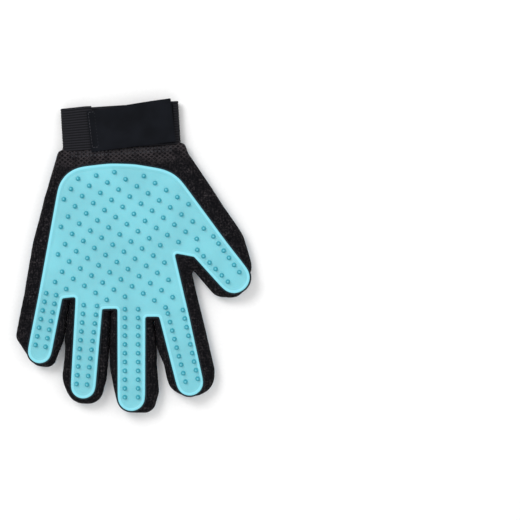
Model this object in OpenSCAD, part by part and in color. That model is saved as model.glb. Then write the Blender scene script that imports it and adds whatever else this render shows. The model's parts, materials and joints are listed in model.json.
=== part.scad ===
// Pet grooming glove for a left hand: a rubber curry pad with nubs on the palm,
// black mesh sides, a plush back and an elastic cuff with a hook-and-loop tab.
// It lies on its plush back. Fingers point to -Y, the thumb to +X, the pad faces +Z.
// Every finger is cut at its flex lines, so that it can curl towards the palm.

/* [Palm] */
// Width that the finger roots are spread over
palm_w = 118; // [106:1:142]
// Length of the palm, from the knuckles to the cuff
palm_l = 116; // [104:1:140]
// Width of the wrist, which is also the width of the cuff
wrist_w = 89; // [74:1:107]

/* [Fingers] */
// Length of the rubber on the little finger, from its root
little_l = 48.4; // [42:0.2:60]
// Length of the rubber on the ring finger, from its root
ring_l = 74.3; // [64:0.1:90]
// Length of the rubber on the middle finger, from its root
middle_l = 74.6; // [64:0.2:92]
// Length of the rubber on the index finger, from its root
index_l = 64.5; // [56:0.5:78]
// Length of the rubber on the thumb, from its root
thumb_l = 57.2; // [50:0.2:70]
// Gap between two pieces that move against each other
flex_gap = 0.3; // [0.2:0.05:0.5]

/* [Rubber pad] */
// Thickness of the rubber sheet under the nubs
pad_t = 1.8; // [1.2:0.1:3]
// Diameter of a nub
nub_d = 3.4; // [2.4:0.1:4.2]
// Height of a nub above the sheet
nub_h = 2.8; // [1.8:0.1:3.6]
// Distance between nubs along a finger
finger_nub_pitch = 6.6; // [5.6:0.1:8]
// Distance between palm nubs along their slanted rows
palm_nub_pitch = 9.9; // [8:0.1:12]
// Distance between the slanted rows of palm nubs
palm_row_pitch = 9.35; // [8:0.05:12]

/* [Fabric] */
// Thickness of the plush back with its pile
plush_t = 3.6; // [2.6:0.1:5]
// Height of the space for the hand
hand_h = 8; // [6:0.5:14]
// Thickness of the mesh on the palm side
mesh_t = 1.4; // [1:0.1:2]
// Thickness of the mesh side walls
gusset_t = 1.8; // [1.2:0.1:2.4]

/* [Cuff] */
// Length of the elastic along the arm
cuff_l = 31; // [24:1:40]
// Thickness of the elastic
elastic_t = 1.4; // [1:0.1:2]
// Length of the hook tab round the wrist
tab_l = 64; // [50:1:72]
// Width of the hook tab along the arm
tab_w = 29; // [22:1:30]
// Thickness of the hook tab
tab_t = 1.3; // [0.8:0.1:2]
// Thickness of the hooks, and of the loops that they grip
hook_t = 0.8; // [0.5:0.1:1.2]

/* [Hidden] */
$fn = 32;
arc_step = 9;           // degrees between points on a rounded corner
plush_inset = 0.8;      // the plush stays this far inside the mesh outline
cuff_tilt = 3.6;        // degrees that the cuff leans against the palm
tab_tilt = 3.4;         // degrees that the tab leans against the cuff
trim_t = 0.4;           // height of the knitted trim
trim_w = 5.5;           // width of the knitted trim below the cuff
stitch_t = 0.3;         // height of the stitching on the tab
nub_sink = 0.4;         // how far a nub's base reaches into the sheet
nub_edge = 5.6;         // palm nubs stay this far inside the edge of the pad
zone_reach = 12;        // half the width of the wall between two fingers
zone_side = 14;         // the outer side walls start this far past the finger gaps
zone_top = 30;          // how far the index side's zone runs up past the thumb's notch
sewn_margin = 24;       // elastic on the little-finger side of the slit
patch_l = 30;           // length of the loop patch round the wrist
patch_margin = 1;       // the patch stays this far inside the elastic's edges
sewn_overlap = 3;       // the tab reaches this far over the elastic past the slit
sewn_l = 7;             // length of the tab's sewn end
tab_clear = 0.3;        // the hooks stay this far off the loops
tab_shift = 0.5;        // the tab sits this far below the middle of the cuff
grip_l = 26;            // length of the hook field
grip_margin = 2;        // the hook field stays this far inside the tab's edges
stitch_edge = 1.2;      // the stitching stays this far inside the tab's edges
stitch_w = 0.7;         // width of a row of stitching
trim_margin = 6;        // the trim stops this far from the ends of the wrist

plush_top = plush_t;
hand_top = plush_top + hand_h;
mesh_top = hand_top + mesh_t;
pad_top = mesh_top + pad_t;
half_gap = flex_gap / 2;

// A finger is [root, lean, pad length, pad half width at its base and at its tip,
// fabric half widths on its left and right, tip corners of the fabric, nub rows,
// knuckle, middle joint]. Lengths along a finger are counted from its root, and its
// lean from -Y towards +X. A tip corner is [distance from the pad's tip, side, radius].
// Nub rows are [first nub, count, left side at base and tip, right side at base and tip].
ROOT = 0;
LEAN = 1;
PAD_L = 2;
PAD_BASE = 3;
PAD_TIP = 4;
LEFT = 5;
RIGHT = 6;
TIP = 7;
ROWS = 8;
KNUCKLE_AFTER = 9;      // place of the knuckle, counted in nubs of a row
MIDDLE_AFTER = 10;      // place of the middle joint, counted in nubs of a row

function on_palm(x, y) = [x * palm_w, y * palm_l];

little = [
    on_palm(-0.532, -0.283), -11.1, little_l, 9, 9, 20.7, 13.7,
    [[-15, -20.7, 10], [2.6, -2.5, 9], [2.2, 11.5, 7], [-13, 13.7, 14]],
    [-4.5, 7, -3.5, -3.9, 4.1, 3.8], 0.5, 3.5
];
ring = [
    on_palm(-0.281, -0.283), -4, ring_l, 10.3, 9.2, 15.2, 15.6,
    [[-13.7, -17.2, 20], [5, -8.5, 14], [3.8, 13, 12], [-16, 16.7, 20]],
    [4.1, 10, -3.8, -5, 6.2, 2.9], 0.5, 4.5
];
middle = [
    on_palm(-0.013, -0.36), 0, middle_l, 10.5, 10.35, 16, 15.7,
    [[-30, -16.8, 20], [1.8, -9.5, 12], [1.8, 16, 9], [-14, 20.4, 10]],
    [-2, 11, -4.8, -4.8, 5.1, 5.1], 1.5, 5.5
];
index = [
    on_palm(0.2525, -0.36), 13.3, index_l, 11.1, 10, 15.7, 20.2,
    [[-8, -17, 16], [2.4, -2, 20], [-0.4, 15.9, 14], [-15, 20.2, 8]],
    [0.3, 9, -4.1, -3, 7.5, 6.5], 0.5, 4.5
];
thumb = [
    on_palm(0.393, 0.162), 40, thumb_l, 13.6, 11.5, 20.3, 26.2,
    [[-9, -20, 13], [4.6, -5, 14], [-9, 15.4, 15], [-30, 25, 22]],
    [11.8, 6, -7.8, -5.6, 7.9, 5.6], 1.5, 0
];

// A joint lies midway between two nubs of a row
function nub_at(f, i) = f[ROWS][0] + i * finger_nub_pitch;
function knuckle(f) = nub_at(f, f[KNUCKLE_AFTER]);
function middle_joint(f) = nub_at(f, f[MIDDLE_AFTER]);

// From a finger's own [along, across, radius] to the glove's [x, y, radius]
function put(f, p) = [
    f[ROOT].x + p.x * sin(f[LEAN]) + p.y * cos(f[LEAN]),
    f[ROOT].y - p.x * cos(f[LEAN]) + p.y * sin(f[LEAN]),
    p.z
];
function put_all(f, points) = [for (p = points) put(f, p)];

function mix(a, b, t) = a + (b - a) * t;

// Half width of the rubber at a distance along the finger
function pad_half(f, u) = mix(f[PAD_BASE], f[PAD_TIP], max(u, 0) / f[PAD_L]);

// Sides of the fabric at a distance along the finger. Fingers stay a gap apart.
function tip_corner(f, i) = [f[PAD_L] + f[TIP][i].x, f[TIP][i].y, f[TIP][i].z];
function left_side(f, u) =
    mix(half_gap - f[LEFT], f[TIP][0].y, (u - knuckle(f)) / (tip_corner(f, 0).x - knuckle(f)));
function right_side(f, u) =
    mix(f[RIGHT] - half_gap, f[TIP][3].y, (u - knuckle(f)) / (tip_corner(f, 3).x - knuckle(f)));

// ---- Rounded outlines: lists of [x, y, radius], counterclockwise ----

function flat(p) = [p.x, p.y];
function unit(v) = v / norm(v);
function corner_angle(a, b, c) = acos(unit(flat(a) - flat(b)) * unit(flat(c) - flat(b)));
function cross_z(u, v) = u.x * v.y - u.y * v.x;

// Points on the arc that rounds corner b between a and c
function corner_arc(a, b, c) =
    let (
        to_a = unit(flat(a) - flat(b)),
        to_c = unit(flat(c) - flat(b)),
        half = corner_angle(a, b, c) / 2,
        room = min(norm(flat(a) - flat(b)), norm(flat(c) - flat(b))) * 0.98,
        reach = min(b.z / tan(half), room),
        radius = reach * tan(half),
        centre = flat(b) + unit(to_a + to_c) * radius / sin(half),
        start = flat(b) + to_a * reach - centre,
        turn = sign(cross_z(-to_a, to_c)) * (180 - 2 * half),
        steps = max(1, ceil(abs(turn) / arc_step))
    )
    [for (i = [0:steps])
        let (t = turn * i / steps)
        centre + [start.x * cos(t) - start.y * sin(t), start.x * sin(t) + start.y * cos(t)]];

function rounded(v) = [
    for (i = [0:len(v) - 1])
        let (a = v[(i + len(v) - 1) % len(v)], b = v[i], c = v[(i + 1) % len(v)])
        each (b.z > 0 ? corner_arc(a, b, c) : [flat(b)])
];

// The outline moved inwards by d, with its corner radii to match. A sharp notch
// gets a square cap round its point, so that the wall round it stays even.
function shrink(v, d) = [
    for (i = [0:len(v) - 1])
        let (
            a = v[(i + len(v) - 1) % len(v)],
            b = v[i],
            c = v[(i + 1) % len(v)],
            along_a = unit(flat(b) - flat(a)),
            along_c = unit(flat(c) - flat(b)),
            side_a = [-along_a.y, along_a.x],
            side_c = [-along_c.y, along_c.x],
            miter = (side_a + side_c) / (1 + along_a * along_c),
            convex = cross_z(along_a, along_c) > 0,
            radius = b.z == 0 ? 0 : max(0.2, b.z + (convex ? -d : d))
        )
        each (
            convex || norm(miter) < 2
                ? [concat(flat(b) + miter * d, radius)]
                : [concat(flat(b) + (side_a + along_a) * d, 0),
                   concat(flat(b) + (side_c - along_c) * d, 0)]
        )
];

function crossings(p, v) = [
    for (i = [0:len(v) - 1])
        let (a = v[i], b = v[(i + 1) % len(v)])
        if ((a.y > p.y) != (b.y > p.y) && p.x < a.x + (p.y - a.y) * (b.x - a.x) / (b.y - a.y)) i
];
function inside(p, v) = len(crossings(p, v)) % 2 == 1;

// ---- The glove's outlines ----

// The middle of the wrist line, where the cuff is sewn on
wrist = [-0.079 * palm_w, 0.703 * palm_l];
function on_wrist(x, y, r = 0) = [
    wrist.x + x * cos(cuff_tilt) - y * sin(cuff_tilt),
    wrist.y + x * sin(cuff_tilt) + y * cos(cuff_tilt),
    r
];

// The two fabric corners where a finger leaves the palm
function stub(f) = [
    put(f, [knuckle(f) - half_gap, -f[LEFT], 0]),
    put(f, [knuckle(f) - half_gap, f[RIGHT], 0])
];

// Where two neighbouring fingers part, between their facing sides
function side_line(f, v) = [put(f, [0, v, 0]), put(f, [10, v, 0])];
function meet(p, q) =
    let (
        a = flat(p[0]),
        r = flat(p[1]) - a,
        b = flat(q[0]),
        s = flat(q[1]) - b
    )
    a + r * cross_z(b - a, s) / cross_z(r, s);
function crotch(f, g) = concat(meet(side_line(f, f[RIGHT]), side_line(g, -g[LEFT])), [0]);

palm_outline = concat(
    [on_wrist(wrist_w / 2, 0), on_wrist(-wrist_w / 2, 0)],
    [concat(on_palm(-0.564, 0.418), 60), concat(on_palm(-0.652, 0.069), 60)],
    stub(little), [crotch(little, ring)],
    stub(ring), [crotch(ring, middle)],
    stub(middle), [crotch(middle, index)],
    stub(index), [crotch(index, thumb)],
    stub(thumb),
    [concat(on_palm(0.352, 0.659), 25)]
);

function segment_outline(f, from, to) = put_all(f, [
    [from, left_side(f, from), 0],
    [to, left_side(f, to), 0],
    [to, right_side(f, to), 0],
    [from, right_side(f, from), 0]
]);
function tip_outline(f, from) = put_all(f, concat(
    [[from, left_side(f, from), 0]],
    [for (i = [0:3]) tip_corner(f, i)],
    [[from, right_side(f, from), 0]]
));

// The rubber on the palm, with its stubs for the fingers and notches between them
notch_r = 1.6;
function pad_stub(f) = [
    put(f, [knuckle(f) - half_gap, -pad_half(f, knuckle(f)), 0]),
    put(f, [knuckle(f) - half_gap, pad_half(f, knuckle(f)), 0])
];
function notch(f, u, side) = put(f, [u, side * pad_half(f, u), notch_r]);
pad_outline = concat(
    [concat(on_palm(0.267, 0.543), 27), concat(on_palm(-0.072, 0.627), 130)],
    [concat(on_palm(-0.46, 0.553), 22)],
    pad_stub(little), [notch(little, -2.9, 1), notch(ring, -1.5, -1)],
    pad_stub(ring), [notch(ring, 6.2, 1), notch(middle, -2.4, -1)],
    pad_stub(middle), [notch(middle, 3.7, 1), notch(index, 1.2, -1)],
    pad_stub(index), [notch(index, -42.6, 1), notch(thumb, 14.2, -1)],
    pad_stub(thumb)
);
function pad_segment(f, from, to) = put_all(f, [
    [from, -pad_half(f, from), 0],
    [to, -pad_half(f, to), 0],
    [to, pad_half(f, to), 0],
    [from, pad_half(f, from), 0]
]);
function pad_tip(f, from) = put_all(f, [
    [from, -pad_half(f, from), 0],
    [f[PAD_L], -f[PAD_TIP], f[PAD_TIP] * 0.98],
    [f[PAD_L], f[PAD_TIP], f[PAD_TIP] * 0.98],
    [from, pad_half(f, from), 0]
]);

// ---- Nubs ----

function row_nub(f, i, side) =
    let (
        share = i / (f[ROWS][1] - 1),
        across = side < 0 ? mix(f[ROWS][2], f[ROWS][3], share) : mix(f[ROWS][4], f[ROWS][5], share)
    )
    put(f, [nub_at(f, i), across, 0]);

// Nubs that keep a nub's width away from the cut ends and the tip of the rubber
function row_nubs(f, from, to) = [
    for (i = [0:f[ROWS][1] - 1], side = [-1, 1])
        let (u = nub_at(f, i))
        if (u - nub_d / 2 > from && u + nub_d / 2 < to && u < f[PAD_L] - nub_d * 1.5)
            row_nub(f, i, side)
];

row_turn = -32.2;       // direction of the slanted rows of palm nubs
step_turn = -124.5;     // direction from one slanted row to the next
lattice_start = on_palm(-0.236, 0.522);
function lattice(i, j) = lattice_start
    + i * palm_nub_pitch * [cos(row_turn), sin(row_turn)]
    + j * palm_row_pitch * [cos(step_turn), sin(step_turn)];
FINGERS = [little, ring, middle, index, thumb];
first_nubs = [for (f = FINGERS, side = [-1, 1]) flat(row_nub(f, 0, side))];
nub_field = rounded(shrink(pad_outline, nub_edge));
function clear_of(p, others, distance) =
    len([for (q = others) if (norm(p - q) < distance) 1]) == 0;
function is_beyond(p, f) =
    let (
        rel = p - flat(f[ROOT]),
        u = rel.x * sin(f[LEAN]) - rel.y * cos(f[LEAN]),
        v = rel.x * cos(f[LEAN]) + rel.y * sin(f[LEAN])
    )
    u > f[ROWS][0] - finger_nub_pitch * 0.35 && abs(v) < f[PAD_BASE] + nub_d;
palm_nubs = [
    for (i = [-6:18], j = [-8:22])
        let (p = lattice(i, j))
        if (inside(p, nub_field) && clear_of(p, first_nubs, nub_d * 1.4)
            && len([for (f = FINGERS) if (is_beyond(p, f)) 1]) == 0) p
];

module nub() {
    tip_r = nub_d * 0.36;
    rotate_extrude()
        polygon(concat(
            [[0, -nub_sink], [nub_d / 2, -nub_sink], [nub_d / 2, 0]],
            [for (a = [0:30:90]) [tip_r * cos(a), nub_h - tip_r + tip_r * sin(a)]]
        ));
}

module nubs(points) {
    for (p = points) translate([p.x, p.y, pad_top]) nub();
}

module slab(outline, from, to) {
    translate([0, 0, from]) linear_extrude(to - from) polygon(rounded(outline));
}

// ---- Rubber ----

module rubber(outline, points) {
    color([0.51, 0.83, 0.88]) {
        slab(outline, mesh_top, pad_top);
        nubs(points);
    }
}

module palm_pad() {
    rubber(pad_outline, concat(
        palm_nubs,
        [for (f = FINGERS) each row_nubs(f, f[ROWS][0] - nub_d, knuckle(f))]
    ));
}

module finger_pad(f) {
    from = knuckle(f) + half_gap;
    to = middle_joint(f) - half_gap;
    rubber(pad_segment(f, from, to), row_nubs(f, from, to));
}

module tip_pad(f, joint) {
    from = joint + half_gap;
    rubber(pad_tip(f, from), row_nubs(f, from, f[PAD_L]));
}

// ---- Fabric panels ----

module mesh_panel(outline) {
    color([0.11, 0.11, 0.13]) slab(outline, hand_top, mesh_top);
}

module plush_panel(outline) {
    color([0.3, 0.68, 0.88]) slab(shrink(outline, plush_inset), 0, plush_top);
}

module finger_mesh(f) {
    mesh_panel(segment_outline(f, knuckle(f) + half_gap, middle_joint(f) - half_gap));
}

module tip_mesh(f, joint) {
    mesh_panel(tip_outline(f, joint + half_gap));
}

module finger_plush(f) {
    plush_panel(segment_outline(f, knuckle(f) + half_gap - plush_inset,
        middle_joint(f) - half_gap + plush_inset));
}

module tip_plush(f, joint) {
    plush_panel(tip_outline(f, joint + half_gap - plush_inset));
}

// ---- Side walls: what is left of an outline when the hand's space is cut out ----

open_end = 6;           // how far the hand's space runs out of a piece's open ends

module wall(outline, hollow) {
    color([0.14, 0.14, 0.16])
        translate([0, 0, plush_top])
            linear_extrude(hand_h)
                difference() {
                    polygon(rounded(outline));
                    polygon(rounded(hollow));
                }
}

module finger_gusset(f) {
    from = knuckle(f) + half_gap;
    to = middle_joint(f) - half_gap;
    wall(
        segment_outline(f, from, to),
        shrink(segment_outline(f, from - open_end, to + open_end), gusset_t)
    );
}

module tip_gusset(f, joint) {
    from = joint + half_gap;
    wall(tip_outline(f, from), shrink(tip_outline(f, from - open_end), gusset_t));
}

// The hand's space in the palm, with a channel into each finger and out at the wrist
module palm_hollow() {
    polygon(rounded(shrink(palm_outline, gusset_t)));
    for (f = FINGERS)
        polygon([
            for (p = [[-1, -1], [1, -1], [1, 1], [-1, 1]])
                flat(put(f, [
                    knuckle(f) + p.x * open_end,
                    p.y < 0 ? gusset_t - f[LEFT] : f[RIGHT] - gusset_t,
                    0
                ]))
        ]);
    polygon([
        for (p = [[-1, -1], [1, -1], [1, 1], [-1, 1]])
            flat(on_wrist(p.x * (wrist_w / 2 - gusset_t), p.y * open_end))
    ]);
}

// The part of the palm's side walls that lies in a zone
module palm_wall(zone) {
    color([0.14, 0.14, 0.16])
        translate([0, 0, plush_top])
            linear_extrude(hand_h)
                intersection() {
                    difference() {
                        polygon(rounded(palm_outline));
                        palm_hollow();
                    }
                    polygon(zone);
                }
}

far = palm_w + palm_l;
function corner_xy(f, g) = flat(crotch(f, g));
function web_zone(f, g) =
    let (r = zone_reach, c = corner_xy(f, g))
    [c + [-r, -r * 2], c + [r, -r * 2], c + [r, r], c + [-r, r]];

module little_side_wall() {
    palm_wall([
        [-far, -far], corner_xy(little, ring) + [-zone_side, -far],
        corner_xy(little, ring) + [-zone_side, 0], wrist, wrist + [0, far], [-far, far]
    ]);
}
module thumb_side_wall() {
    palm_wall([
        wrist, corner_xy(index, thumb) + [zone_side, zone_reach],
        corner_xy(index, thumb) + [far, zone_reach], [far, far], wrist + [0, far]
    ]);
}
module little_ring_web() {
    palm_wall(web_zone(little, ring));
}
module ring_middle_web() {
    palm_wall(web_zone(ring, middle));
}
module middle_index_web() {
    palm_wall(web_zone(middle, index));
}
module index_side_wall() {
    palm_wall([
        corner_xy(middle, index) + [zone_side, 0],
        corner_xy(index, thumb) + [0, zone_top],
        corner_xy(index, thumb) + [zone_side, zone_reach],
        corner_xy(index, thumb) + [far, -far],
        corner_xy(middle, index) + [zone_side, -far]
    ]);
}

module palm_mesh() {
    mesh_panel(palm_outline);
}
module palm_plush() {
    plush_panel(palm_outline);
}

// ---- Cuff: the elastic is a flat loop, open on the palm side under the tab ----

cuff_bottom = plush_top - elastic_t;
cuff_top = hand_top;
cuff_r = (cuff_top - cuff_bottom) / 2;
slit_from = -wrist_w / 2 + sewn_margin;
slit_to = wrist_w / 2 - patch_l - patch_margin;
tab_from = slit_from - sewn_overlap;
tab_fold = tab_from + sewn_l;      // where the tab leaves the elastic and can be lifted
tab_end = tab_l - sewn_l;          // the tab's free end, counted from the fold
patch_top = cuff_top + hook_t;
tab_bottom = patch_top + tab_clear + hook_t;
tab_top = tab_bottom + tab_t;

module on_cuff() {
    translate([wrist.x, wrist.y, 0]) rotate([0, 0, cuff_tilt]) children();
}

module flat_loop(width, r) {
    for (side = [-1, 1]) translate([side * (width / 2 - r), 0]) circle(r);
    square([width - 2 * r, 2 * r], center = true);
}

module cuff_elastic() {
    color([0.13, 0.13, 0.15])
        on_cuff()
            difference() {
                translate([0, cuff_l, cuff_bottom + cuff_r])
                    rotate([90, 0, 0])
                        linear_extrude(cuff_l)
                            difference() {
                                flat_loop(wrist_w, cuff_r);
                                flat_loop(wrist_w - 2 * elastic_t, cuff_r - elastic_t);
                            }
                translate([slit_from, -1, cuff_top - 2 * elastic_t])
                    cube([slit_to - slit_from, cuff_l + 2, 4 * elastic_t]);
            }
}

module loop_patch() {
    color([0.1, 0.1, 0.12])
        on_cuff()
            translate([slit_to, patch_margin, cuff_top])
                cube([patch_l - cuff_r + 2, cuff_l - 2 * patch_margin, hook_t]);
}

// The tab's own place on the cuff: turned a little about the middle of its sewn end
module on_tab() {
    on_cuff() translate([tab_fold, cuff_l / 2 - tab_shift, 0]) rotate([0, 0, tab_tilt]) children();
}

module tab_plate(from, to, low, high) {
    on_tab() translate([from, -tab_w / 2, low]) cube([to - from, tab_w, high - low]);
}

module tab_sewn_end() {
    color([0.09, 0.09, 0.11]) tab_plate(-sewn_l, -half_gap, cuff_top, tab_top);
}

module hook_tab() {
    color([0.09, 0.09, 0.11]) tab_plate(half_gap, tab_end, tab_bottom, tab_top);
}

module tab_hooks() {
    color([0.16, 0.16, 0.18])
        on_tab()
            translate([
                tab_end - grip_margin - grip_l,
                grip_margin - tab_w / 2,
                tab_bottom - hook_t
            ])
                cube([grip_l, tab_w - 2 * grip_margin, hook_t]);
}

module tab_stitching() {
    box_l = sewn_l - 2 * stitch_edge;
    box_w = tab_w - 2 * stitch_edge;
    color([0.2, 0.2, 0.22])
        on_tab()
            translate([stitch_edge - sewn_l, -box_w / 2, tab_top])
                difference() {
                    cube([box_l, box_w, stitch_t]);
                    translate([stitch_w, stitch_w, -1])
                        cube([box_l - 2 * stitch_w, box_w - 2 * stitch_w, stitch_t + 2]);
                }
}

module cuff_trim() {
    color([0.2, 0.2, 0.22])
        translate([0, 0, mesh_top])
            linear_extrude(trim_t)
                polygon([
                    for (p = [[-1, -1], [1, -1], [1, 0], [-1, 0]])
                        flat(on_wrist(p.x * (wrist_w / 2 - trim_margin), p.y * trim_w - half_gap))
                ]);
}

palm_pad();
palm_mesh();
palm_plush();
little_side_wall();
thumb_side_wall();
index_side_wall();
little_ring_web();
ring_middle_web();
middle_index_web();
cuff_elastic();
cuff_trim();
loop_patch();
tab_sewn_end();
tab_stitching();
hook_tab();
tab_hooks();
finger_pad(little);  // little_pad
finger_mesh(little);  // little_mesh
finger_gusset(little);  // little_gusset
finger_plush(little);  // little_plush
tip_pad(little, middle_joint(little));  // little_tip_pad
tip_mesh(little, middle_joint(little));  // little_tip_mesh
tip_gusset(little, middle_joint(little));  // little_tip_gusset
tip_plush(little, middle_joint(little));  // little_tip_plush
finger_pad(ring);  // ring_pad
finger_mesh(ring);  // ring_mesh
finger_gusset(ring);  // ring_gusset
finger_plush(ring);  // ring_plush
tip_pad(ring, middle_joint(ring));  // ring_tip_pad
tip_mesh(ring, middle_joint(ring));  // ring_tip_mesh
tip_gusset(ring, middle_joint(ring));  // ring_tip_gusset
tip_plush(ring, middle_joint(ring));  // ring_tip_plush
finger_pad(middle);  // middle_pad
finger_mesh(middle);  // middle_mesh
finger_gusset(middle);  // middle_gusset
finger_plush(middle);  // middle_plush
tip_pad(middle, middle_joint(middle));  // middle_tip_pad
tip_mesh(middle, middle_joint(middle));  // middle_tip_mesh
tip_gusset(middle, middle_joint(middle));  // middle_tip_gusset
tip_plush(middle, middle_joint(middle));  // middle_tip_plush
finger_pad(index);  // index_pad
finger_mesh(index);  // index_mesh
finger_gusset(index);  // index_gusset
finger_plush(index);  // index_plush
tip_pad(index, middle_joint(index));  // index_tip_pad
tip_mesh(index, middle_joint(index));  // index_tip_mesh
tip_gusset(index, middle_joint(index));  // index_tip_gusset
tip_plush(index, middle_joint(index));  // index_tip_plush
tip_pad(thumb, knuckle(thumb));  // thumb_pad
tip_mesh(thumb, knuckle(thumb));  // thumb_mesh
tip_gusset(thumb, knuckle(thumb));  // thumb_gusset
tip_plush(thumb, knuckle(thumb));  // thumb_plush
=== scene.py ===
"""A left-hand grooming glove, lying flat with its rubber curry pad up.

The pad has nubs, the sides are black air mesh, the back is blue plush, and the elastic cuff
closes with a hook-and-loop tab."""

import json
import math
from collections import namedtuple

import bmesh
import bpy
import numpy as np
from bpy.props import FloatProperty, FloatVectorProperty, PointerProperty
from mathutils import Matrix, Vector, noise

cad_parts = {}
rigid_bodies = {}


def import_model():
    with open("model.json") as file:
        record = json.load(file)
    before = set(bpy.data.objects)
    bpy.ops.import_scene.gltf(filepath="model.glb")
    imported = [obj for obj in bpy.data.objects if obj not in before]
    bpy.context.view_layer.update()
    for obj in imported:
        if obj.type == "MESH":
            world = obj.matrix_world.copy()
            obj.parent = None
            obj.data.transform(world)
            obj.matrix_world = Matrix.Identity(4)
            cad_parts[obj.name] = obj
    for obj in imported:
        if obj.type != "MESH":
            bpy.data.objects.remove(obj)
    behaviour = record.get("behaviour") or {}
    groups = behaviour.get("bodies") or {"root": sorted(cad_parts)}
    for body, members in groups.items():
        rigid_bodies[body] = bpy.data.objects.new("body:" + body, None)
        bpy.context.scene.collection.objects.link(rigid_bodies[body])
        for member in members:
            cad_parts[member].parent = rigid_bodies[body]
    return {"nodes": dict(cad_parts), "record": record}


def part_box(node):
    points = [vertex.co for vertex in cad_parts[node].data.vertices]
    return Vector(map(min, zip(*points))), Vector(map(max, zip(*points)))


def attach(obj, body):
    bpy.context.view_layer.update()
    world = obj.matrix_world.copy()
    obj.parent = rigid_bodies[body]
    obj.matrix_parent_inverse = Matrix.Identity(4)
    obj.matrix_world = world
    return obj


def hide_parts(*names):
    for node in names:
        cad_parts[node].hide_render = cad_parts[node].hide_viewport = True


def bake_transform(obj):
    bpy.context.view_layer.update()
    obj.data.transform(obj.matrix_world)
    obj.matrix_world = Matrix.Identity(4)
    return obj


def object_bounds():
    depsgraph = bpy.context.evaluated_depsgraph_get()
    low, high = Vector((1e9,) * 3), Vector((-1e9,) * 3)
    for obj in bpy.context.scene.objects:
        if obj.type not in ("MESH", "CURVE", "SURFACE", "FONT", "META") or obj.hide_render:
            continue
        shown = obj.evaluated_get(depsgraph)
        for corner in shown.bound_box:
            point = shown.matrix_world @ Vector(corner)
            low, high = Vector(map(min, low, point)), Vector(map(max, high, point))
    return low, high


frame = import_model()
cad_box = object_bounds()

bl_info = {
    "name": "Grooming Glove",
    "version": (1, 0, 0),
    "blender": (4, 5, 0),
    "location": "View3D > Sidebar > Glove",
    "description": "Builds a rubber-palmed grooming glove around its functional model",
    "category": "Object",
}

MM = 0.001
MERGE = 1e-6            # points nearer than this are one point, in metres
FACET = 2.5 * MM        # longest edge of an outline that has rounded corners
UP = Vector((0, 0, 1))
RECORD = frame["record"]
JOINTS = {j["name"]: j for j in RECORD["behaviour"]["joints"]}
MOUNTS = {m["name"]: m for m in RECORD["mounts"]}
FINGERS = ("little", "ring", "middle", "index", "thumb")
PALM = "palm"

# Heights of the layers, from the functional model
PLUSH_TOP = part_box("palm_plush")[1][2]
HAND_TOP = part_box("palm_mesh")[0][2]
MESH_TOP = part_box("palm_mesh")[1][2]
NUB_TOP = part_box("palm_pad")[1][2]


def points_of(node_name):
    """The points of a CAD node."""
    return [v.co for v in frame["nodes"][node_name].data.vertices]


# the highest points of the pad that aren't on a nub
PAD_TOP = max(p.z for p in points_of("thumb_pad") if p.z < NUB_TOP - 2.5 * MM)


def linear(hex_colour):
    """An sRGB hex colour as linear red, green and blue."""
    parts = [int(hex_colour[i : i + 2], 16) / 255 for i in (1, 3, 5)]
    return tuple(p / 12.92 if p <= 0.04045 else ((p + 0.055) / 1.055) ** 2.4 for p in parts)


# ---- sizes and colours


def length(name, description, millimetres):
    """A size that the panel shows, kept in metres."""
    return FloatProperty(
        name=name,
        description=description,
        default=millimetres * MM,
        unit="LENGTH",
        precision=5,
    )


def colour(name, description, hex_colour):
    """A colour that the panel shows, kept linear."""
    return FloatVectorProperty(
        name=name,
        description=description,
        default=linear(hex_colour),
        subtype="COLOR",
        size=3,
        min=0,
        max=1,
    )


class GloveSizes(bpy.types.PropertyGroup):
    """Sizes of the visible details."""

    rim_width: length("Rim width", "Width of the raised rim round the rubber", 1.7)
    # the flange is a dark sheet that paints the shadow round the pad's edge
    flange: length("Flange", "How far the dark bonded edge shows round the rubber", 1.2)
    rim_rise: length("Rim rise", "How far the rim stands above the field of nubs", 0.28)
    nub_foot: length("Nub foot", "Diameter of a nub where it meets the sheet", 3.7)
    nub_tip: length("Nub tip", "Diameter of a nub's rounded tip", 2.2)
    shoulder: length("Shoulder", "How far the fabric curves in above its widest line", 4.6)
    wall: length("Fabric wall", "Thickness of the air mesh", 1.1)
    crease: length("Creases", "Depth of the creases in the air mesh", 0.45)
    pile: length("Pile", "Length of a tuft of plush", 2.2)
    tuft_pitch: length("Tuft pitch", "Distance between tufts of plush", 1.25)
    rib_pitch: length("Rib pitch", "Distance between the ribs of the elastic", 1.8)
    rib_depth: length("Rib depth", "Height of the ribs of the elastic", 0.3)
    tape: length("Tape", "Thickness of the tab's tape", 1.3)


class GloveColours(bpy.types.PropertyGroup):
    """Colours of the finishes."""

    rubber: colour("Rubber", "Aqua thermoplastic rubber", "#79C9D5")
    # painted shade: the steep walls of the nubs are drawn a deeper aqua than the sheet
    nub: colour("Nubs", "The walls of the nubs, where the aqua looks deeper", "#33A2B4")
    # painted shadow: the dark navy edge round the rubber stands in for the pad's shadow on the
    # mesh
    bond: colour("Bond line", "Dark navy adhesive round the rubber", "#0C1A24")
    # painted highlight: the raised rim is drawn a lighter aqua than the field
    rubber_rim: colour("Rubber rim", "The rim, where the moulding is thinner", "#86D6E4")
    mesh: colour("Air mesh", "Black polyester yarn", "#0D0D10")
    mesh_light: colour("Air mesh highlights", "Yarn that catches the light", "#3A3638")
    band: colour("Cuff band", "Yarn of the open knit by the cuff", "#383436")
    plush: colour("Plush", "Roots of the blue pile", "#0F9CCB")
    plush_tip: colour("Plush tips", "Tips of the blue pile", "#A9DDF0")
    elastic: colour("Elastic", "Black woven elastic", "#17171A")
    tape: colour("Tape", "Smooth black tape of the tab", "#0F1116")
    thread: colour("Thread", "Grey-black sewing thread", "#3A3A3E")


def sizes():
    return bpy.context.scene.glove_sizes


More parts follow.
